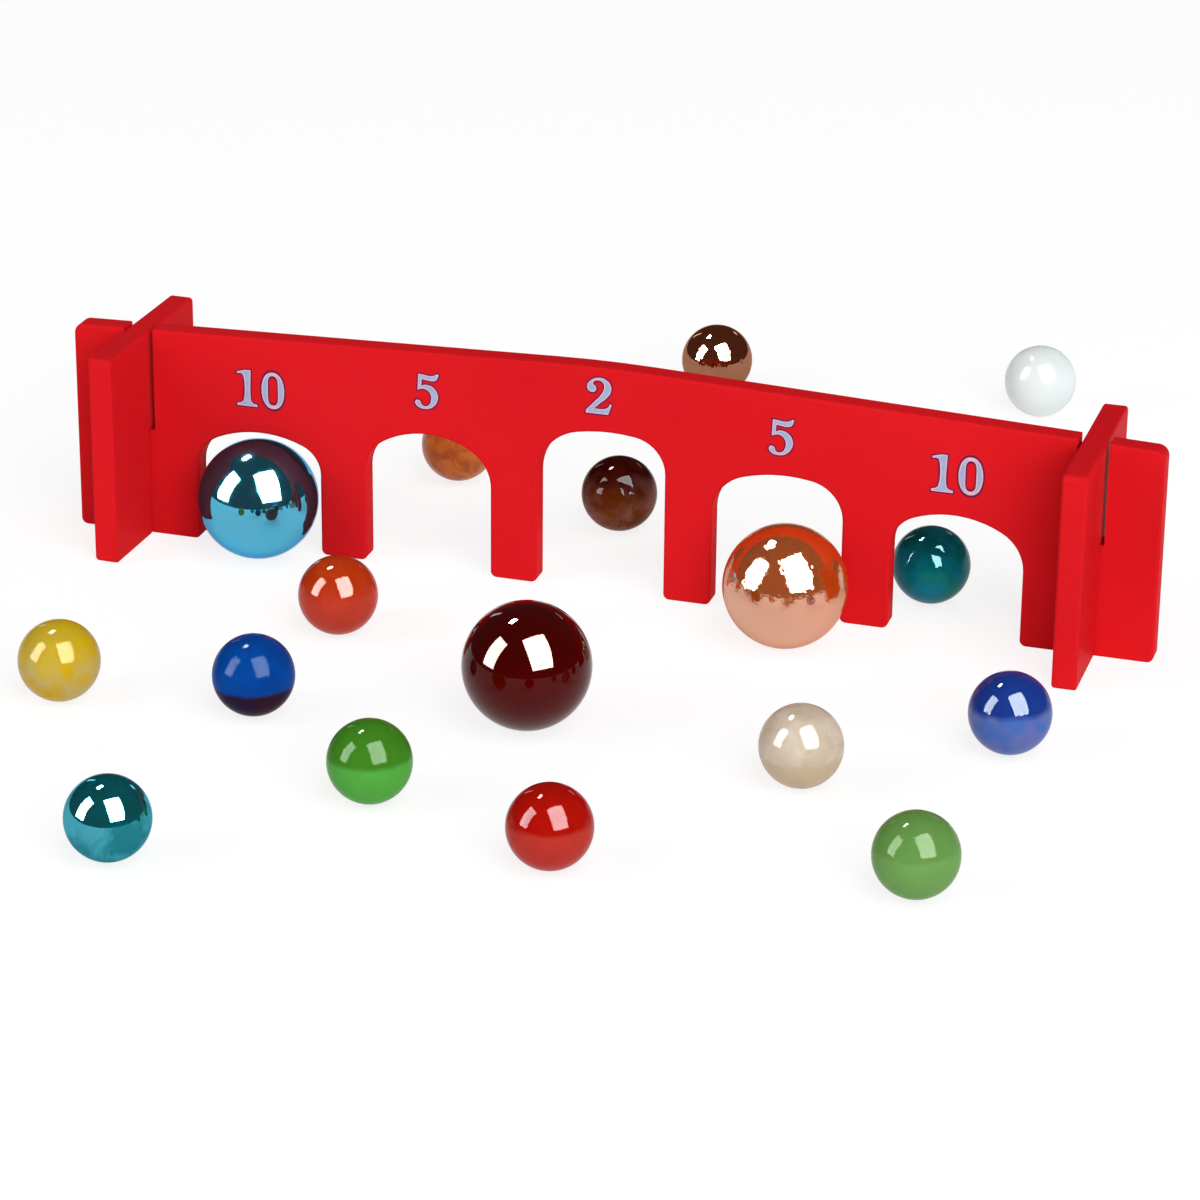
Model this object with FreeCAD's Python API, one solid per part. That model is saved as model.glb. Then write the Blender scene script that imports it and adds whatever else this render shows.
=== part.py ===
import FreeCAD, Part
import math
import os

# Arch-board marble game: a painted wooden board with five numbered arches stands upright on the table
# in two crosswise end feet, and seventeen glass marbles lie around it.
#
# Millimetres. X runs along the board, Y away from the player, Z up. Z = 0 is the table, and the origin
# is the middle of the whole set's footprint. The outlines are drawn in the board's own frame, whose
# Y = 0 is the middle of the board's thickness, and each finished piece is then moved by set_shift().

# ---- marbles ----
SMALL_MARBLE_DIAMETER = 16.0
LARGE_MARBLE_DIAMETER = 25.0

# ---- wooden board and feet ----
BOARD_THICKNESS = 4.8
BOARD_END_HEIGHT = 44.8        # the top edge rises from here at both ends
BOARD_PEAK_RISE = 4.0          # up to the blunt peak over the middle arch
PEAK_BLEND_LENGTH = 20.0       # length of the top edge that the peak's arc replaces
END_PANEL_WIDTH = 27.0         # solid board outside the first and last arch
LEG_WIDTH = 10.0               # solid board between two arches
UPPER_CORNER_RADIUS = 2.2      # the board's outer corners
LOWER_CORNER_RADIUS = 1.4
LEG_CORNER_RADIUS = 1.3        # the lower corners of the legs
ARRIS_RADIUS = 0.6             # sanded edges

# ---- arches ----
ARCH_SIDE_CLEARANCE = 1.0      # the large marble passes with this much on each side
ARCH_HEAD_CLEARANCE = 0.4      # and with this much over it in the lowest arch

# how much higher than the lowest arch each one is, how far to the right of its middle it is highest, and
# the radii of its left haunch, right haunch and crown, which differ because the arches are sawn by hand
ARCH_HEADS = (
    (0.0, 0.6, 7.4, 6.4, 23.4),
    (4.2, -0.1, 7.8, 8.7, 18.4),
    (9.4, 1.8, 10.5, 7.5, 35.0),
    (4.7, 1.6, 8.8, 7.9, 29.8),
    (0.7, -1.1, 7.2, 8.8, 21.0),
)

# ---- feet ----
FOOT_THICKNESS = 5.0
FOOT_DEPTH = 42.0              # across the board
FOOT_OVERHANG = 0.7            # how much further the feet reach behind the board than in front of it
FOOT_CORNER_RADIUS = 1.2
LAP_SIDE_CLEARANCE = 0.7       # loose cross-halving joint, on each side of the wood
LAP_HEAD_CLEARANCE = 0.3       # under the foot's slot, so that the foot stands on the table

# name, the end it stands at, how far its slot's middle is from that end of the board, the share of the end
# height that the board keeps under the slot, how far the foot stands off the slot's middle towards the
# board's end, and how many degrees its front end is turned that way: both are sawn and set by hand
LEFT = -1
RIGHT = 1
FEET = (
    ("left_foot", LEFT, 14.35, 0.518, 0.35, 1.6),
    ("right_foot", RIGHT, 14.2, 0.53, -0.1, 0.4),
)

# ---- derived ----
ARCH_WIDTH = LARGE_MARBLE_DIAMETER + 2 * ARCH_SIDE_CLEARANCE
LOWEST_ARCH_HEIGHT = LARGE_MARBLE_DIAMETER + ARCH_HEAD_CLEARANCE
ARCH_COUNT = len(ARCH_HEADS)
ARCH_PITCH = ARCH_WIDTH + LEG_WIDTH
BOARD_LENGTH = ARCH_COUNT * ARCH_WIDTH + (ARCH_COUNT - 1) * LEG_WIDTH + 2 * END_PANEL_WIDTH
HALF_LENGTH = BOARD_LENGTH / 2
BOARD_SLOT_WIDTH = FOOT_THICKNESS + 2 * LAP_SIDE_CLEARANCE
FOOT_SLOT_WIDTH = BOARD_THICKNESS + 2 * LAP_SIDE_CLEARANCE
FOOT_HEIGHT = BOARD_END_HEIGHT

# ---- where the marbles lie ----
SMALL = SMALL_MARBLE_DIAMETER
LARGE = LARGE_MARBLE_DIAMETER
FRONT = -1
BACK = 1

# name, diameter, the arch it lies off (1 to 5), how far to the right of that arch's middle, the side of
# the board, and the gap to the board's face, which is negative where the marble stands in the arch
MARBLES = (
    ("marble_large_blue_lustre", LARGE, 1, 1.2, FRONT, 3.7 - LARGE / 2),
    ("marble_amber", SMALL, 2, -10.4, BACK, 37.0),
    ("marble_brown", SMALL, 3, -8.9, BACK, 105.6),
    ("marble_maroon", SMALL, 3, -6.1, BACK, 20.9),
    ("marble_orange", SMALL, 2, -6.3, FRONT, 28.0),
    ("marble_large_copper", LARGE, 4, 5.7, FRONT, 1.0),
    ("marble_teal_clear", SMALL, 5, -8.7, BACK, 4.1),
    ("marble_pearl_white", SMALL, 5, -10.2, BACK, 115.7),
    ("marble_gold", SMALL, 1, -9.0, FRONT, 75.0),
    ("marble_blue", SMALL, 2, -8.1, FRONT, 69.5),
    ("marble_large_oxblood", LARGE, 3, 6.2, FRONT, 53.8),
    ("marble_green", SMALL, 3, -10.9, FRONT, 98.7),
    ("marble_champagne", SMALL, 5, -11.4, FRONT, 67.2),
    ("marble_royal_blue", SMALL, 5, 22.2, FRONT, 40.6),
    ("marble_teal_lustre", SMALL, 2, -10.1, FRONT, 135.7),
    ("marble_red", SMALL, 4, -8.2, FRONT, 114.1),
    ("marble_pale_green", SMALL, 5, 19.5, FRONT, 104.4),
)


def point(x, z):
    """A point of an outline drawn on the board's face."""
    return FreeCAD.Vector(x, 0, z)


def line(a, b):
    return Part.LineSegment(a, b).toShape()


def arc_about(x, z, radius, start_deg, end_deg):
    """An arc in the XZ plane about (x, z), from one angle to another, counted from +X towards +Z."""
    def at(deg):
        rad = math.radians(deg)
        return point(x + radius * math.cos(rad), z + radius * math.sin(rad))
    return Part.Arc(at(start_deg), at((start_deg + end_deg) / 2), at(end_deg)).toShape()


def joined(edges):
    """Puts a straight line wherever one edge of the outline doesn't start where the last one ended."""
    whole = []
    for edge in edges:
        start = edge.firstVertex(True).Point
        if whole:
            end = whole[-1].lastVertex(True).Point
            if (end - start).Length > 1e-6:
                whole.append(line(end, start))
        whole.append(edge)
    end = whole[-1].lastVertex(True).Point
    start = whole[0].firstVertex(True).Point
    if (end - start).Length > 1e-6:
        whole.append(line(end, start))
    return whole


def arch_centre_x(number):
    return (number - (ARCH_COUNT + 1) / 2) * ARCH_PITCH


def haunch_centre(side, haunch, crown_x, crown_z, crown):
    """Where an arch's haunch is centred so that it is tangent to its side and to its crown."""
    x = side * (ARCH_WIDTH / 2 - haunch)
    z = crown_z + math.sqrt((crown - haunch) ** 2 - (x - crown_x) ** 2)
    return x, z


def arch_edges(number):
    """The corners of the two legs and the three-centred head of one arch, from left to right."""
    middle = arch_centre_x(number)
    step, crown_x, left, right, crown = ARCH_HEADS[number - 1]
    crown_z = LOWEST_ARCH_HEIGHT + step - crown
    left_x, left_z = haunch_centre(-1, left, crown_x, crown_z, crown)
    right_x, right_z = haunch_centre(1, right, crown_x, crown_z, crown)
    left_deg = math.degrees(math.atan2(left_z - crown_z, left_x - crown_x))
    right_deg = math.degrees(math.atan2(right_z - crown_z, right_x - crown_x))
    half = ARCH_WIDTH / 2
    corner = LEG_CORNER_RADIUS
    return [
        arc_about(middle - half - corner, corner, corner, -90, 0),
        arc_about(middle + left_x, left_z, left, 180, left_deg),
        arc_about(middle + crown_x, crown_z, crown, left_deg, right_deg),
        arc_about(middle + right_x, right_z, right, right_deg, 0),
        arc_about(middle + half + corner, corner, corner, 180, 270),
    ]


def board_outline():
    """The board's outline, anticlockwise seen from the front: along the bottom, then back over the top."""
    slope_deg = math.degrees(math.atan2(BOARD_PEAK_RISE, HALF_LENGTH))
    slope = math.tan(math.radians(slope_deg))
    peak_radius = PEAK_BLEND_LENGTH / 2 / math.sin(math.radians(slope_deg))
    blend_end_z = BOARD_END_HEIGHT + (HALF_LENGTH - PEAK_BLEND_LENGTH / 2) * slope
    peak_z = blend_end_z - peak_radius * math.cos(math.radians(slope_deg))
    lower = LOWER_CORNER_RADIUS
    upper = UPPER_CORNER_RADIUS
    lower_x = HALF_LENGTH - lower
    upper_x = HALF_LENGTH - upper
    upper_z = BOARD_END_HEIGHT + upper * slope - upper / math.cos(math.radians(slope_deg))
    edges = [arc_about(-lower_x, lower, lower, 180, 270)]
    for number in range(1, ARCH_COUNT + 1):
        edges += arch_edges(number)
    edges += [
        arc_about(lower_x, lower, lower, 270, 360),
        arc_about(upper_x, upper_z, upper, 0, 90 - slope_deg),
        arc_about(0, peak_z, peak_radius, 90 - slope_deg, 90 + slope_deg),
        arc_about(-upper_x, upper_z, upper, 90 + slope_deg, 180),
    ]
    return Part.Wire(joined(edges))


def slab(outline, thickness):
    """A slab with the outline on both faces, its thickness centred on the outline's plane."""
    normal = Part.Face(outline).normalAt(0, 0)
    normal = FreeCAD.Vector(abs(normal.x), abs(normal.y), abs(normal.z))
    placed = outline.translated(normal * (-thickness / 2))
    return Part.Face(placed).extrude(normal * thickness)


def round_arrises(solid, axis, radius):
    """Rounds every edge of a slab's two faces. axis is the slab's thickness direction: 0 for X, 1 for Y."""
    def flat_along(edge):
        box = edge.BoundBox
        return (box.XLength, box.YLength, box.ZLength)[axis] < 1e-4
    edges = [edge for edge in solid.Edges if flat_along(edge)]
    return solid.makeFillet(radius, edges)


def slot_x(side, inset):
    """Where the middle of the board's slot for a foot is."""
    return side * (HALF_LENGTH - inset)


def make_arch_board():
    """The board stands on its legs. Two slots, open at the top edge, take the feet."""
    board = round_arrises(slab(board_outline(), BOARD_THICKNESS), 1, ARRIS_RADIUS)
    tall = BOARD_END_HEIGHT + BOARD_PEAK_RISE
    for name, side, inset, lap_share, *stance in FEET:
        left = slot_x(side, inset) - BOARD_SLOT_WIDTH / 2
        corner = FreeCAD.Vector(left, -BOARD_THICKNESS, BOARD_END_HEIGHT * lap_share)
        board = board.cut(Part.makeBox(BOARD_SLOT_WIDTH, 2 * BOARD_THICKNESS, tall, corner))
    return board


def foot_outline():
    """The side view of a foot: a rounded upright rectangle in the YZ plane, whose slot is about Y = 0."""
    corner = FOOT_CORNER_RADIUS
    back = (FOOT_DEPTH + FOOT_OVERHANG) / 2 - corner
    front = back - FOOT_DEPTH + 2 * corner
    top = FOOT_HEIGHT - corner
    edges = [
        arc_about(front, corner, corner, 180, 270),
        arc_about(back, corner, corner, 270, 360),
        arc_about(back, top, corner, 0, 90),
        arc_about(front, top, corner, 90, 180),
    ]
    wire = Part.Wire(joined(edges))
    wire.rotate(FreeCAD.Vector(0, 0, 0), FreeCAD.Vector(0, 0, 1), 90)
    return wire


def make_foot(side, inset, lap_share, shift, turn_deg):
    """A foot stands across the board, and its slot, open at the bottom, drops over the board. shift moves it
    towards the board's end, and turn_deg turns its front end that way."""
    foot = round_arrises(slab(foot_outline(), FOOT_THICKNESS), 0, ARRIS_RADIUS)
    slot_height = BOARD_END_HEIGHT * lap_share + LAP_HEAD_CLEARANCE
    corner = FreeCAD.Vector(-FOOT_THICKNESS, -FOOT_SLOT_WIDTH / 2, -slot_height)
    foot = foot.cut(Part.makeBox(2 * FOOT_THICKNESS, FOOT_SLOT_WIDTH, 2 * slot_height, corner))
    foot.rotate(FreeCAD.Vector(0, 0, 0), FreeCAD.Vector(0, 0, 1), side * turn_deg)
    return foot.translated(FreeCAD.Vector(slot_x(side, inset) + side * shift, 0, 0))


def marble_centre(diameter, arch, right_of_arch, side, gap):
    radius = diameter / 2
    y = side * (BOARD_THICKNESS / 2 + gap + radius)
    return FreeCAD.Vector(arch_centre_x(arch) + right_of_arch, y, radius)


def make_marble(diameter, *place):
    return Part.makeSphere(diameter / 2, marble_centre(diameter, *place))


def set_shift():
    """From the board's own frame to the middle of the set's footprint, which the marbles make uneven."""
    lows = []
    highs = []
    for name, diameter, *place in MARBLES:
        y = marble_centre(diameter, *place).y
        lows.append(y - diameter / 2)
        highs.append(y + diameter / 2)
    return FreeCAD.Vector(0, -(min(lows) + max(highs)) / 2, 0)


def build():
    pieces = {"arch_board": make_arch_board()}
    for name, *how in FEET:
        pieces[name] = make_foot(*how)
    for name, diameter, *place in MARBLES:
        pieces[name] = make_marble(diameter, *place)
    return pieces


os.makedirs("parts", exist_ok=True)
shift = set_shift()
for name, piece in build().items():
    placed = piece.translated(shift)
    solid = placed.Solids[0]
    print("%-26s %d solid, valid %s, volume %.1f mm3" % (name, len(placed.Solids), solid.isValid(), solid.Volume))
    solid.exportStep("parts/" + name + ".step")
print("board length %.1f, board mid-plane at Y = %.2f" % (BOARD_LENGTH, shift.y))
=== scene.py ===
import math

import bpy
from mathutils import Matrix, Vector


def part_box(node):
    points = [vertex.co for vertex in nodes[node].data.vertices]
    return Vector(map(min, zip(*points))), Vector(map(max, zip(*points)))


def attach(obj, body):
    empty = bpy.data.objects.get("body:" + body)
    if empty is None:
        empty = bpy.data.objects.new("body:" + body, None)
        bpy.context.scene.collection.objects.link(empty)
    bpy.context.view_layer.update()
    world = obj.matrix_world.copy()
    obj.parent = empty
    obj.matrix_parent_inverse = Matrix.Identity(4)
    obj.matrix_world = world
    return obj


# Looks of a marble arch board: a red wooden board with five numbered arches, its two feet and 17 glass
# marbles. Metres, in the frame of the CAD model: X along the board, Y away from the player, Z up.

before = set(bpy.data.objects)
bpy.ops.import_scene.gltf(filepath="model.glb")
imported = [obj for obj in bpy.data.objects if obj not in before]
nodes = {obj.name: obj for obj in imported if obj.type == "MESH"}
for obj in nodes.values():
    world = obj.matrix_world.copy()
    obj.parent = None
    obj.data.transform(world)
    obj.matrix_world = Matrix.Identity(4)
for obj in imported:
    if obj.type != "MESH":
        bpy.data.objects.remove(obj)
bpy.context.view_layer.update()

MM = 0.001
NOISE_RANGE = (0.3, 0.7)   # where nearly all values of a noise lie

# ---- camera ----
VIEW_YAW = 17.079          # degrees that the camera stands round to the board's right
VIEW_PITCH = 23.3          # degrees that it looks down
VIEW_ROLL = 0.585
VIEW_PLACE = (248.5 * MM, -800.5 * MM, 362.2 * MM)
SENSOR_WIDTH = 36.0        # in the camera's own millimetres
LENS = 135.05
NEAR_CLIP = 20 * MM

# ---- studio ----
# name, azimuth from the front towards the right, elevation, distance, width, height, radiance
SOFTBOXES = (
    ("softbox_left", -53.3, 28.4, 1.6, 0.74, 1.40, 2.1),
    ("softbox_right", 46.4, 43.6, 1.6, 1.23, 1.84, 2.1),
)
# soft low light from the front and from behind, which only dull surfaces see
FILLS = (
    ("front_fill", 30.0, 12.0, 1.6, 1.2, 0.8, 2.35),
    ("back_fill_left", -140.0, 12.0, 1.6, 0.9, 0.9, 1.8),
    ("back_fill_right", 140.0, 12.0, 1.6, 0.9, 0.9, 1.8),
)
# what only a reflection sees of the same softboxes, their bright tubes and cloth, and of smaller lamps
GLINTS = (
    ("glint_left", -53.3, 28.4, 1.61, 0.68, 1.32, 60.0),
    ("glint_right", 46.4, 43.6, 1.61, 1.18, 1.78, 75.0),
    ("glint_top", -119.0, 63.0, 1.6, 0.30, 0.18, 300.0),
    ("glint_rear_left", -135.0, 20.5, 1.6, 0.10, 0.50, 3.2),
    ("glint_rear_right", 169.5, 20.5, 1.6, 0.24, 0.16, 2.6),
)
POWER_PER_RADIANCE = 4.0   # what an area lamp of one square metre takes for a radiance of 1
SECOND_IMAGE = 0.03        # how strong a glint still is where a marble's image shows in another marble
STUDIO_GREY = 0.06
FLOOR_RADIUS = 6.0
FLOOR_DROP = 0.02 * MM     # keeps the floor's face apart from the faces that stand on it
FLOOR_ALBEDO = 0.92
# what the camera sees of the floor, and what reflections see of it: how pale it is, and what is added
FLOOR_SEEN = (0.27, 0.81)
FLOOR_REFLECTED = (0.70, 0.45)

# ---- paint and print ----
PAINT_RED = (0.735, 0.0112, 0.0165)
PAINT_RED_DEEP = (0.67, 0.0098, 0.0145)
PAINT_SHINE = 0.018
PAINT_ROUGHNESS = (0.42, 0.54)
PAINT_PATCHES = 18.0       # noise scales of the wood and the print are counted per metre
PAINT_PEEL = 1300.0
PEEL_HEIGHT = 0.05 * MM
PEEL_STRENGTH = 0.12
INK_BLUE = (0.30, 0.43, 0.66)
INK_PALE = (0.42, 0.46, 0.64)
# the pink colours are a painted highlight along the figures' outlines, and the dark purple ones a
# painted shadow round them
INK_PAINTED_HIGHLIGHT = (0.82, 0.50, 0.56)
INK_PAINTED_HIGHLIGHT_PALE = (0.66, 0.48, 0.60)
INK_PAINTED_SHADE = (0.11, 0.010, 0.085)
INK_PAINTED_SHADE_DEEP = (0.16, 0.008, 0.050)
INK_LAYER = 0.010 * MM
INK_SHINE = 0.1
INK_ROUGHNESS = 0.5
INK_PATCHES = 900.0


def new_material(name):
    """A material that is one Principled shader, with nothing linked to its inputs yet."""
    material = bpy.data.materials.new(name)
    material.use_nodes = True
    tree = material.node_tree
    tree.nodes.clear()
    shader = tree.nodes.new("ShaderNodeBsdfPrincipled")
    output = tree.nodes.new("ShaderNodeOutputMaterial")
    tree.links.new(shader.outputs[0], output.inputs["Surface"])
    return material, tree, shader


def noise(tree, coords, scale, detail=3.0, roughness=0.5, distortion=0.0, shift=0.0):
    """A noise texture, moved along by shift so that no two pieces carry the same pattern."""
    mapping = tree.nodes.new("ShaderNodeMapping")
    mapping.inputs["Location"].default_value = (shift, 1.7 * shift, 0.6 * shift)
    texture = tree.nodes.new("ShaderNodeTexNoise")
    texture.inputs["Scale"].default_value = scale
    texture.inputs["Detail"].default_value = detail
    texture.inputs["Roughness"].default_value = roughness
    texture.inputs["Distortion"].default_value = distortion
    tree.links.new(coords, mapping.inputs["Vector"])
    tree.links.new(mapping.outputs[0], texture.inputs["Vector"])
    return texture.outputs["Fac"]


def spread(tree, value, low, high, to_low=0.0, to_high=1.0):
    """Stretches the range low..high of a value to to_low..to_high, and cuts off what is outside."""
    node = tree.nodes.new("ShaderNodeMapRange")
    node.inputs["From Min"].default_value = low
    node.inputs["From Max"].default_value = high
    node.inputs["To Min"].default_value = to_low
    node.inputs["To Max"].default_value = to_high
    tree.links.new(value, node.inputs["Value"])
    return node.outputs[0]


def mixed(tree, value, first, second):
    """A colour between two others. Each may be a fixed colour or another node's output."""
    node = tree.nodes.new("ShaderNodeMix")
    node.data_type = "RGBA"
    tree.links.new(value, node.inputs["Factor"])
    for socket, colour in ((node.inputs[6], first), (node.inputs[7], second)):
        if isinstance(colour, tuple):
            socket.default_value = (*colour, 1.0)
        else:
            tree.links.new(colour, socket)
    return node.outputs[2]


def bump(tree, height, strength, distance):
    """A normal for a surface that stands up by a height times a distance."""
    node = tree.nodes.new("ShaderNodeBump")
    node.inputs["Strength"].default_value = strength
    node.inputs["Distance"].default_value = distance
    tree.links.new(height, node.inputs["Height"])
    return node.outputs[0]


def painted_wood():
    """Satin red paint, sprayed over sanded wood: faint darker patches and a fine orange peel."""
    material, tree, shader = new_material("red_paint")
    coords = tree.nodes.new("ShaderNodeTexCoord").outputs["Object"]
    patches = spread(tree, noise(tree, coords, PAINT_PATCHES), low=0.35, high=0.65)
    tree.links.new(mixed(tree, patches, PAINT_RED, PAINT_RED_DEEP), shader.inputs["Base Color"])
    peel = noise(tree, coords, PAINT_PEEL, detail=2.0)
    tree.links.new(spread(tree, peel, *NOISE_RANGE, *PAINT_ROUGHNESS), shader.inputs["Roughness"])
    tree.links.new(bump(tree, peel, PEEL_STRENGTH, PEEL_HEIGHT), shader.inputs["Normal"])
    shader.inputs["Specular IOR Level"].default_value = PAINT_SHINE
    return material


def printed_ink(name, first, second):
    """Matt flat colour, slightly cloudy between two colours: the figures' ink, and their painted
    highlight and painted shadow.
    """
    material, tree, shader = new_material(name)
    coords = tree.nodes.new("ShaderNodeTexCoord").outputs["Object"]
    patches = spread(tree, noise(tree, coords, INK_PATCHES), low=0.4, high=0.65)
    tree.links.new(mixed(tree, patches, first, second), shader.inputs["Base Color"])
    shader.inputs["Roughness"].default_value = INK_ROUGHNESS
    shader.inputs["Specular IOR Level"].default_value = INK_SHINE
    return material


# ---- marbles ----
# what a marble is like where its row says nothing else. The mottling is a noise between its two colours,
# scales are counted per diameter, and wave is the strength of a slight unevenness of the skin.
DEFAULT_GLASS = {
    "metallic": 0.0, "ior": 1.5, "level": 0.5, "tint": (1.0, 1.0, 1.0), "second_tint": None,
    "roughness": 0.02, "coat": 0.0, "mottle_scale": 2.5, "mottle_low": 0.35, "mottle_high": 0.7,
    "wave": 0.0, "wave_scale": 6.0, "lower": None, "lower_level": -0.2, "lower_blend": 0.06,
}
WAVE_HEIGHT = 0.15 * MM
BORDER_SCALE = 4.0
SCUFF_SCALE = 14.0
COAT_ROUGHNESS = 0.01
PATTERN_STEP = 3.1         # how far each marble's pattern is moved along from the last one's
# the painted light and shade in a marble's lower part ends at a nearly level plane
PAINTED_SHADING_NORMAL = (-0.04, 0.03, 0.99)
# name, base colour, second colour of the mottling, and what differs from DEFAULT_GLASS. A high index of
# refraction with a tint is a lustre: the marble's own colour stays, and its skin reflects in the tint.
# Where a row gives two more colours for the part below a level, which is counted in radii from the
# middle,
# they are painted light and shade: a painted reflection of the floor, and in the blue and champagne
# marbles a painted darker band.
MARBLES = (
    ("marble_large_blue_lustre", (0.085, 0.46, 0.66), (0.10, 0.44, 0.61), {
        "metallic": 0.96, "tint": (0.45, 0.60, 0.85), "coat": 0.02, "roughness": 0.035, "wave": 0.4,
        "wave_scale": 5.0}),
    ("marble_amber", (0.72, 0.20, 0.035), (0.46, 0.092, 0.022), {
        "ior": 1.6, "tint": (1.0, 0.6, 0.4), "level": 0.2, "mottle_scale": 5.0, "mottle_low": 0.40,
        "mottle_high": 0.64, "wave": 0.5, "wave_scale": 9.0}),
    ("marble_brown", (0.062, 0.0085, 0.0005), (0.072, 0.012, 0.0010), {
        "ior": 4.0, "tint": (0.97, 0.42, 0.29), "second_tint": (0.80, 0.37, 0.19), "roughness": 0.006,
        "wave": 0.2, "wave_scale": 12.0}),
    ("marble_maroon", (0.036, 0.0016, 0.0012), (0.060, 0.006, 0.002), {
        "level": 0.028, "roughness": 0.006, "mottle_low": 0.44, "mottle_high": 0.58, "wave": 0.15,
        "wave_scale": 5.0, "lower": ((0.26, 0.105, 0.080), (0.19, 0.048, 0.005)), "lower_level": 0.23,
        "lower_blend": 0.45}),
    ("marble_orange", (0.47, 0.030, 0.004), (0.49, 0.050, 0.006), {
        "level": 0.10, "roughness": 0.008, "tint": (1.0, 0.85, 0.75), "mottle_scale": 3.0,
        "wave": 0.06, "lower": ((0.57, 0.050, 0.026), (0.48, 0.034, 0.016)), "lower_level": 0.30,
        "lower_blend": 0.2}),
    ("marble_large_copper", (0.46, 0.076, 0.004), (0.49, 0.090, 0.008), {
        "ior": 5.0, "tint": (1.0, 0.76, 0.58), "roughness": 0.005, "mottle_scale": 5.0, "wave": 0.36,
        "wave_scale": 34.0}),
    ("marble_teal_clear", (0.001, 0.070, 0.078), (0.002, 0.115, 0.135), {
        "level": 0.12, "tint": (0.45, 0.90, 1.0), "mottle_scale": 3.2, "mottle_low": 0.42,
        "mottle_high": 0.62, "wave": 0.4, "wave_scale": 8.0,
        "lower": ((0.003, 0.190, 0.180), (0.001, 0.200, 0.340)), "lower_level": 0.30,
        "lower_blend": 0.5}),
    ("marble_pearl_white", (0.86, 0.94, 0.93), (0.90, 0.97, 0.97), {"level": 0.055, "roughness": 0.06}),
    ("marble_gold", (0.64, 0.42, 0.004), (0.54, 0.385, 0.034), {
        "level": 0.06, "tint": (1.0, 0.93, 0.60), "mottle_scale": 2.6, "mottle_low": 0.36,
        "mottle_high": 0.66, "roughness": 0.026, "wave": 0.3, "wave_scale": 4.0,
        "lower": ((0.60, 0.37, 0.010), (0.52, 0.41, 0.165)), "lower_level": 0.22, "lower_blend": 0.4}),
    ("marble_blue", (0.0025, 0.052, 0.285), (0.0025, 0.062, 0.330), {
        "level": 0.022, "tint": (0.6, 0.8, 1.0), "roughness": 0.005, "mottle_low": 0.42,
        "mottle_high": 0.60, "wave": 0.1, "lower": ((0.018, 0.008, 0.036), (0.036, 0.008, 0.014)),
        "lower_level": -0.19}),
    ("marble_large_oxblood", (0.045, 0.0008, 0.0004), (0.053, 0.0012, 0.0006), {
        "level": 0.24, "tint": (1.0, 0.60, 0.55), "roughness": 0.008,
        "lower": ((0.066, 0.0003, 0.0001), (0.074, 0.0005, 0.0001)), "lower_level": 0.25,
        "lower_blend": 0.2}),
    ("marble_green", (0.046, 0.205, 0.012), (0.052, 0.225, 0.016), {
        "level": 0.038, "tint": (0.8, 1.0, 0.75), "roughness": 0.008, "mottle_scale": 6.0,
        "lower": ((0.080, 0.360, 0.050), (0.090, 0.385, 0.058)), "lower_level": 0.16}),
    ("marble_champagne", (0.54, 0.425, 0.31), (0.69, 0.585, 0.475), {
        "level": 0.08, "roughness": 0.005, "lower": ((0.58, 0.455, 0.305), (0.54, 0.42, 0.28)),
        "lower_level": -0.14}),
    ("marble_royal_blue", (0.010, 0.036, 0.235), (0.013, 0.042, 0.26), {
        "level": 0.09, "tint": (0.82, 0.94, 1.0), "roughness": 0.008, "wave": 0.05,
        "lower": ((0.055, 0.135, 0.43), (0.16, 0.150, 0.39)), "lower_level": 0.22,
        "lower_blend": 0.08}),
    ("marble_teal_lustre", (0.001, 0.068, 0.076), (0.002, 0.085, 0.10), {
        "ior": 4.3, "tint": (0.15, 0.78, 1.0), "second_tint": (0.04, 0.32, 0.40), "roughness": 0.01,
        "mottle_scale": 1.8, "mottle_low": 0.42, "mottle_high": 0.60, "wave": 0.15}),
    ("marble_red", (0.37, 0.0050, 0.0020), (0.41, 0.0065, 0.0030), {
        "level": 0.06, "tint": (1.0, 0.85, 0.85), "roughness": 0.008, "mottle_scale": 7.0,
        "lower": ((0.47, 0.034, 0.022), (0.43, 0.028, 0.020)), "lower_level": 0.17}),
    ("marble_pale_green", (0.115, 0.270, 0.058), (0.125, 0.290, 0.068), {
        "level": 0.04, "tint": (0.85, 1.0, 0.75), "roughness": 0.01,
        "lower": ((0.155, 0.330, 0.090), (0.145, 0.310, 0.080)), "lower_level": 0.21}),
)


def lower_part(tree, coords, level, blend, shift):
    """Mask of a marble's painted light and shade: 1 in the lower part of a marble and 0 above it, with a
    slightly wavy border.
    """
    height = tree.nodes.new("ShaderNodeVectorMath")
    height.operation = "DOT_PRODUCT"
    height.inputs[1].default_value = PAINTED_SHADING_NORMAL
    tree.links.new(coords, height.inputs[0])
    wavy = tree.nodes.new("ShaderNodeMath")
    wavy.operation = "MULTIPLY_ADD"
    wavy.inputs[1].default_value = blend
    tree.links.new(noise(tree, coords, BORDER_SCALE, detail=2.0, shift=shift), wavy.inputs[0])
    tree.links.new(height.outputs["Value"], wavy.inputs[2])
    border = (sum(PAINTED_SHADING_NORMAL) + level + blend) / 2
    low = border - blend / 2
    high = border + blend / 2
    return spread(tree, wavy.outputs[0], low, high, to_low=1.0, to_high=0.0)


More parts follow.
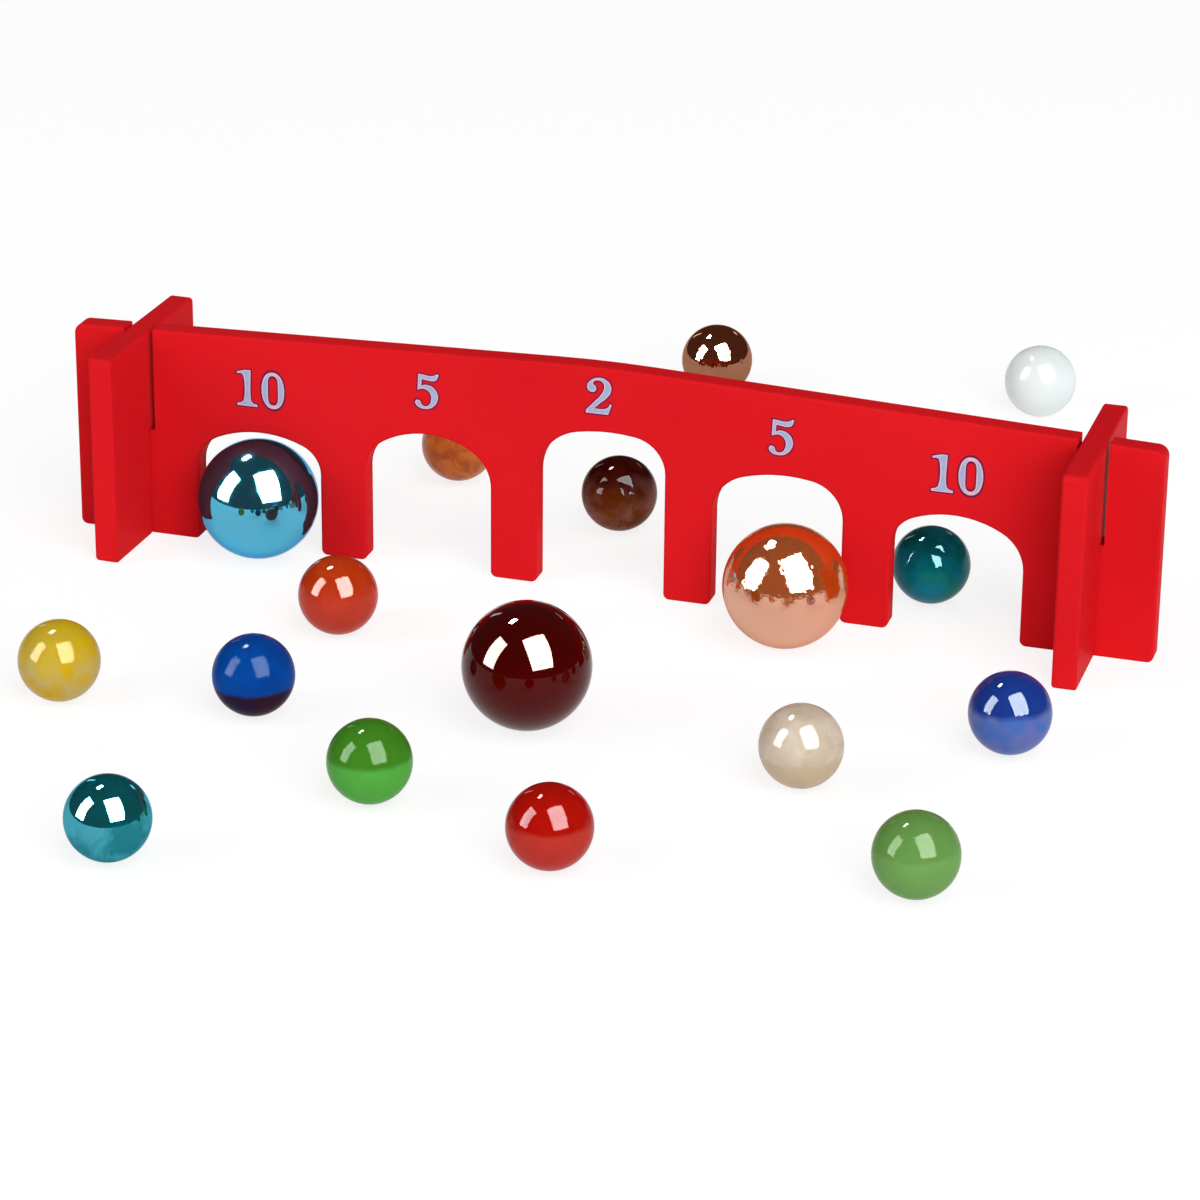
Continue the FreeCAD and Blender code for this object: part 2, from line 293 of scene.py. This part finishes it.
def marble_glass(name, first, second, changes, shift):
    """Mottled glass: its colours, its lustre and its slightly scuffed and wavy skin, with painted light
    and shade in the lower part of some marbles.
    """
    look = dict(DEFAULT_GLASS, **changes)
    material, tree, shader = new_material(name.replace("marble_", "") + "_glass")
    coords = tree.nodes.new("ShaderNodeTexCoord").outputs["Generated"]
    mottle = noise(tree, coords, look["mottle_scale"], detail=4.0, roughness=0.55, distortion=0.6,
                   shift=shift)
    mottle = spread(tree, mottle, look["mottle_low"], look["mottle_high"])
    body = mixed(tree, mottle, first, second)
    # painted reflection of the floor in the lower part, and in the blue and champagne marbles a painted
    # darker band
    if look["lower"]:
        painted_below = lower_part(tree, coords, look["lower_level"], look["lower_blend"], shift)
        body = mixed(tree, painted_below, body, mixed(tree, mottle, *look["lower"]))
    tree.links.new(body, shader.inputs["Base Color"])
    shader.inputs["Specular IOR Level"].default_value = look["level"]
    shader.inputs["Specular Tint"].default_value = (*look["tint"], 1)
    if look["second_tint"]:
        lustre = mixed(tree, mottle, look["tint"], look["second_tint"])
        tree.links.new(lustre, shader.inputs["Specular Tint"])
    shader.inputs["Metallic"].default_value = look["metallic"]
    shader.inputs["IOR"].default_value = look["ior"]
    shader.inputs["Coat Weight"].default_value = look["coat"]
    shader.inputs["Coat Roughness"].default_value = COAT_ROUGHNESS
    scuffs = noise(tree, coords, SCUFF_SCALE, detail=2.0, shift=shift)
    roughness = spread(tree, scuffs, *NOISE_RANGE, look["roughness"], look["roughness"] * 2)
    tree.links.new(roughness, shader.inputs["Roughness"])
    if look["wave"]:
        waves = noise(tree, coords, look["wave_scale"], detail=2.0, distortion=0.3, shift=shift)
        tree.links.new(bump(tree, waves, look["wave"], WAVE_HEIGHT), shader.inputs["Normal"])
    return material


def assign(node_name, material):
    """Gives a material to all faces of a piece from the CAD model."""
    for slot in nodes[node_name].material_slots:
        slot.material = material


# ---- numbers ----
# outlines on a grid of 100 units to the height: s is a smooth point and c a corner. A glyph's second
# outline is the hole in it.
GLYPHS = {
    "0": (
        ((31, 100, "s"), (0, 50, "s"), (31, 0, "s"), (62, 50, "s")),
        ((31, 91, "s"), (17, 50, "s"), (31, 9, "s"), (45, 50, "s")),
    ),
    "1": (
        (
            (37, 99, "c"), (37, 17, "s"), (41, 10, "s"), (54, 6, "c"), (54, 0, "c"), (-1, 0, "c"),
            (-1, 6, "c"), (12, 10, "s"), (17, 17, "s"), (17, 82, "s"), (13, 88, "s"), (-1, 88, "c"),
            (0, 93, "c"), (22, 99, "c"),
        ),
    ),
    "2": (
        (
            (0, 0, "c"), (59, 0, "c"), (68, 26, "c"), (64, 30, "c"), (59, 20, "s"), (50, 15, "s"),
            (21, 13, "c"), (35, 27, "s"), (54, 44, "s"), (65, 61, "s"), (65, 79, "s"), (54, 92, "s"),
            (34, 97, "s"), (13, 88, "s"), (3, 73, "s"), (6, 62, "s"), (16, 57, "s"), (26, 63, "s"),
            (25, 73, "s"), (18, 80, "s"), (22, 87, "s"), (31, 90, "s"), (42, 87, "s"), (48, 77, "s"),
            (46, 63, "s"), (37, 48, "s"), (21, 30, "s"), (1, 8, "c"),
        ),
    ),
    "5": (
        (
            (9.5, 93, "c"), (24, 92, "s"), (39, 90, "s"), (51, 92, "s"), (61, 98, "c"), (64, 95, "c"),
            (58, 81, "s"), (47, 77, "s"), (33, 78, "s"), (18.5, 80, "c"), (17, 61, "c"), (29, 65, "s"),
            (50, 59, "s"), (62, 39, "s"), (59, 20, "s"), (46, 5, "s"), (27, -1, "s"), (9, 3, "s"),
            (1, 13, "s"), (3, 20, "s"), (9, 22, "s"), (15, 18, "s"), (18, 10, "s"), (28, 6, "s"),
            (38, 11, "s"), (44, 25, "s"), (43, 39, "s"), (35, 50, "s"), (23, 54, "s"), (7.5, 50, "c"),
        ),
    ),
}
GLYPH_WIDTHS = {"0": 62, "1": 53, "2": 67, "5": 64}
GLYPH_GAP = 14
GLYPH_GRID = 100
NUMBER_HEIGHT = 7.95 * MM
# text, middle in X and in Z
NUMBERS = (
    ("10", -73.2 * MM, 35.2 * MM),
    ("5", -37.05 * MM, 39.35 * MM),
    ("2", -0.5 * MM, 42.75 * MM),
    ("5", 37.55 * MM, 38.65 * MM),
    ("10", 73.6 * MM, 35.0 * MM),
)
# layers of the figures from the bottom up, a dark painted shadow round them, a pink painted highlight
# along their outlines and the blue ink: name, how many units it reaches beyond the outlines
LAYERS = (("edge", 4.0), ("rim", 0.2), ("core", -2.6))
SHARPEST_CORNER = 0.6      # cosine of half the turn, past which a corner isn't moved any further out


def grown(outline, amount):
    """An outline whose points are moved outwards, or inwards where the amount is below 0."""
    count = len(outline)
    area = 0
    for index in range(count):
        area += Vector(outline[index - 1][:2]).cross(Vector(outline[index][:2]))
    turn = math.copysign(1, area)
    moved = []
    for index, (x, z, kind) in enumerate(outline):
        here = Vector((x, z))
        before = (here - Vector(outline[index - 1][:2])).normalized()
        after = (Vector(outline[(index + 1) % count][:2]) - here).normalized()
        along = before + after
        out = Vector((along.y, -along.x)).normalized() * turn
        reach = amount / max(SHARPEST_CORNER, out.dot(Vector((after.y, -after.x)) * turn))
        moved.append((x + out.x * reach, z + out.y * reach, kind))
    return moved


def add_outline(curve, outline, left, scale):
    """Adds one closed outline of a figure to a curve, centred on the height of the figures."""
    spline = curve.splines.new("BEZIER")
    spline.bezier_points.add(len(outline) - 1)
    for bezier, (x, z, kind) in zip(spline.bezier_points, outline):
        bezier.co = (left + x * scale, (z - GLYPH_GRID / 2) * scale, 0.0)
        handle = "AUTO" if kind == "s" else "VECTOR"
        bezier.handle_left_type = handle
        bezier.handle_right_type = handle
    spline.use_cyclic_u = True


def printed_number(name, text, x, z, face_y, material, proud, reach):
    """Thin flat figures on the board's front face, standing proud of it by the ink's thickness."""
    curve = bpy.data.curves.new(name, "CURVE")
    curve.dimensions = "2D"
    curve.fill_mode = "BOTH"
    curve.resolution_u = 10
    scale = NUMBER_HEIGHT / GLYPH_GRID
    width = sum(GLYPH_WIDTHS[figure] for figure in text) + GLYPH_GAP * (len(text) - 1)
    left = -width * scale / 2
    for figure in text:
        for index, outline in enumerate(GLYPHS[figure]):
            add_outline(curve, grown(outline, -reach if index else reach), left, scale)
        left += (GLYPH_WIDTHS[figure] + GLYPH_GAP) * scale
    curve.extrude = proud / 2
    curve.materials.append(material)
    piece = bpy.data.objects.new(name, curve)
    bpy.context.scene.collection.objects.link(piece)
    piece.rotation_euler = (math.radians(90), 0, 0)
    piece.location = (x, face_y - proud / 2, z)
    # flat print: a curved mirror such as a marble shows the paint alone
    piece.visible_glossy = False
    piece.visible_diffuse = False
    piece.visible_shadow = False
    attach(piece, "board")
    return piece


def aimed(obj, azimuth, elevation, distance):
    """Puts a lamp out in a direction from the middle of the table, facing back to it."""
    a = math.radians(azimuth)
    e = math.radians(elevation)
    out = Vector((math.sin(a) * math.cos(e), -math.cos(a) * math.cos(e), math.sin(e)))
    obj.location = out * distance
    obj.rotation_mode = "QUATERNION"
    obj.rotation_quaternion = (-out).to_track_quat("-Z", "Y")


def softbox(name, azimuth, elevation, distance, width, height, radiance):
    """An area lamp that the camera doesn't see."""
    lamp = bpy.data.lights.new(name, "AREA")
    lamp.shape = "RECTANGLE"
    lamp.size = width
    lamp.size_y = height
    lamp.energy = radiance * width * height * POWER_PER_RADIANCE
    obj = bpy.data.objects.new(name, lamp)
    bpy.context.scene.collection.objects.link(obj)
    aimed(obj, azimuth, elevation, distance)
    obj.visible_camera = False
    return obj


def glint(*row):
    """A lamp that shows only as its image in a marble, and whose light the marbles don't pass on."""
    obj = softbox(*row)
    obj.visible_diffuse = False
    obj.light_linking.receiver_collection = polished
    obj.data.use_nodes = True
    tree = obj.data.node_tree
    path = tree.nodes.new("ShaderNodeLightPath")
    # 1 before a ray has met a dull surface, and 0 from its first one on
    seen = spread(tree, path.outputs["Diffuse Depth"], 0.4, 0.6, to_low=1.0, to_high=0.0)
    # 1 in the first marble that a ray meets, and much weaker in the next one
    once = spread(tree, path.outputs["Glossy Depth"], 1.4, 1.6, to_low=1.0, to_high=SECOND_IMAGE)
    strength = tree.nodes.new("ShaderNodeMath")
    strength.operation = "MULTIPLY"
    tree.links.new(seen, strength.inputs[0])
    tree.links.new(once, strength.inputs[1])
    tree.links.new(strength.outputs[0], tree.nodes["Emission"].inputs["Strength"])


def diffuse(tree, albedo):
    """A dull grey surface."""
    node = tree.nodes.new("ShaderNodeBsdfDiffuse")
    node.inputs["Color"].default_value = (albedo, albedo, albedo, 1)
    return node.outputs[0]


def lit_and_glowing(tree, albedo, glow):
    """A lit surface with a little light of its own, so that it looks white and still shows shadows."""
    emission = tree.nodes.new("ShaderNodeEmission")
    emission.inputs["Strength"].default_value = glow
    both = tree.nodes.new("ShaderNodeAddShader")
    tree.links.new(diffuse(tree, albedo), both.inputs[0])
    tree.links.new(emission.outputs[0], both.inputs[1])
    return both.outputs[0]


def chosen(tree, ray, otherwise, shader):
    """One shader for the rays that are named, and another for the rest."""
    node = tree.nodes.new("ShaderNodeMixShader")
    tree.links.new(ray, node.inputs["Fac"])
    tree.links.new(otherwise, node.inputs[1])
    tree.links.new(shader, node.inputs[2])
    return node.outputs[0]


def make_floor():
    """A pale table top, which looks white to the camera and a little darker in the marbles."""
    place = (0, 0, -FLOOR_DROP)
    bpy.ops.mesh.primitive_circle_add(vertices=128, radius=FLOOR_RADIUS, fill_type="NGON",
                                      location=place)
    floor = bpy.context.object
    floor.name = "table_top"
    material = bpy.data.materials.new("pale_table")
    material.use_nodes = True
    tree = material.node_tree
    tree.nodes.clear()
    path = tree.nodes.new("ShaderNodeLightPath")
    reflected = lit_and_glowing(tree, *FLOOR_REFLECTED)
    look = chosen(tree, path.outputs["Is Glossy Ray"], diffuse(tree, FLOOR_ALBEDO), reflected)
    look = chosen(tree, path.outputs["Is Camera Ray"], look, lit_and_glowing(tree, *FLOOR_SEEN))
    output = tree.nodes.new("ShaderNodeOutputMaterial")
    tree.links.new(look, output.inputs["Surface"])
    floor.data.materials.append(material)


def make_world():
    """A dim even studio round the table, which is also what the marbles' upper halves show."""
    world = bpy.data.worlds.new("studio")
    world.use_nodes = True
    background = world.node_tree.nodes["Background"]
    background.inputs["Color"].default_value = (STUDIO_GREY, STUDIO_GREY, STUDIO_GREY, 1)
    bpy.context.scene.world = world


def make_camera():
    """The camera at the viewing angle that the numbers above give."""
    yaw, pitch, roll = (math.radians(angle) for angle in (VIEW_YAW, VIEW_PITCH, VIEW_ROLL))
    level = math.cos(pitch)
    forward = Vector((-math.sin(yaw) * level, math.cos(yaw) * level, -math.sin(pitch)))
    right = Vector((math.cos(yaw), math.sin(yaw), 0))
    up = right.cross(forward)
    rolled_right = math.cos(roll) * right + math.sin(roll) * up
    rolled_up = math.cos(roll) * up - math.sin(roll) * right
    data = bpy.data.cameras.new("camera")
    data.sensor_width = SENSOR_WIDTH
    data.lens = LENS
    data.clip_start = NEAR_CLIP
    camera = bpy.data.objects.new("camera", data)
    bpy.context.scene.collection.objects.link(camera)
    turn = Matrix((rolled_right, rolled_up, -forward)).transposed()
    camera.matrix_world = Matrix.Translation(VIEW_PLACE) @ turn.to_4x4()
    bpy.context.scene.camera = camera


# ---- the pieces ----
paint = painted_wood()
for wooden in ("arch_board", "left_foot", "right_foot"):
    assign(wooden, paint)
polished = bpy.data.collections.new("polished")
for index, (marble, first, second, changes) in enumerate(MARBLES):
    assign(marble, marble_glass(marble, first, second, changes, PATTERN_STEP * (index + 1)))
    polished.objects.link(nodes[marble])

front_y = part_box("arch_board")[0].y
# blue ink over a pink painted highlight over a dark painted shadow
inks = {
    "edge": printed_ink("number_edge_ink", INK_PAINTED_SHADE, INK_PAINTED_SHADE_DEEP),
    "rim": printed_ink("number_rim_ink", INK_PAINTED_HIGHLIGHT, INK_PAINTED_HIGHLIGHT_PALE),
    "core": printed_ink("number_ink", INK_BLUE, INK_PALE),
}
for index, (text, x, z) in enumerate(NUMBERS):
    for layer, (part, reach) in enumerate(LAYERS):
        name = "number_%d_%s" % (index + 1, part)
        printed_number(name, text, x, z, front_y, inks[part], INK_LAYER * (layer + 1), reach)

# ---- the stage ----
make_floor()
make_world()
for row in SOFTBOXES:
    softbox(*row)
for row in FILLS:
    softbox(*row).visible_glossy = False
for row in GLINTS:
    glint(*row)
make_camera()
bpy.context.scene.view_settings.view_transform = "Standard"
